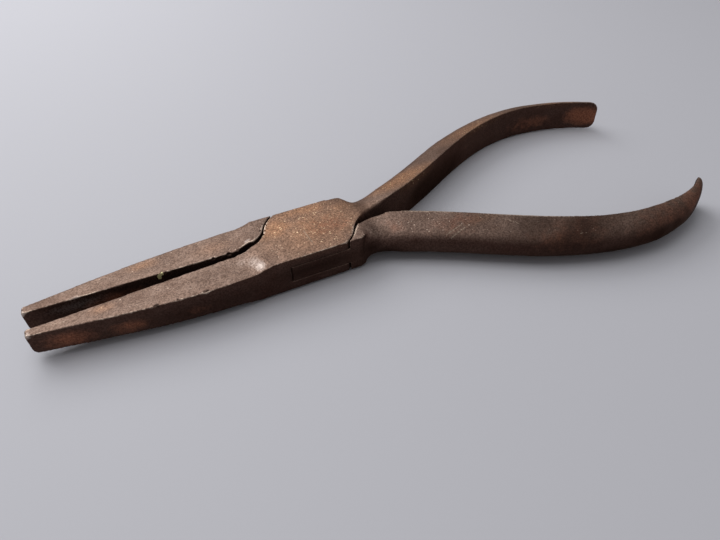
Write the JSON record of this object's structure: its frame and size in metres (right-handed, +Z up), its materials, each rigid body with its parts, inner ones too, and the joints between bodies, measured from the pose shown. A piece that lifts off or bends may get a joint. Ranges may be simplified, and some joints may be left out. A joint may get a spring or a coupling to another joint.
{
  "type": "box joint pliers",
  "caption": "Slim flat-nose pliers: one half passes through a slot in the other, turns on a flush rivet and ends, like it, in a bowed handle with its tip turned in.",
  "frame": {"origin": "on the pivot axis, at the flat underside of the joint", "axes": "+X from the pivot to the handles along the middle line of the tool, jaws towards -X; +Y towards the half whose jaw lies on that side; +Z up along the pivot"},
  "size_m": [0.1504, 0.0593, 0.0088],
  "materials": {
    "forged_steel": "forged carbon steel under an old dark brown patina, finely pitted, with rust-brown patches and edges rubbed lighter",
    "rivet_steel": "steel rivet peened and filed flush, browned like the joint round it"
  },
  "bodies": {
    "box_side": {"box_half": "forged_steel", "pivot_rivet": "rivet_steel"},
    "tongue_side": {"tongue_half": "forged_steel"}
  },
  "joints": [
    {"name": "pivot", "type": "hinge", "parent": "box_side", "child": "tongue_side", "pos_m": [0, 0, 0.0039], "axis": [0, 0, -1], "range_deg": [-4.8, 70]}
  ]
}
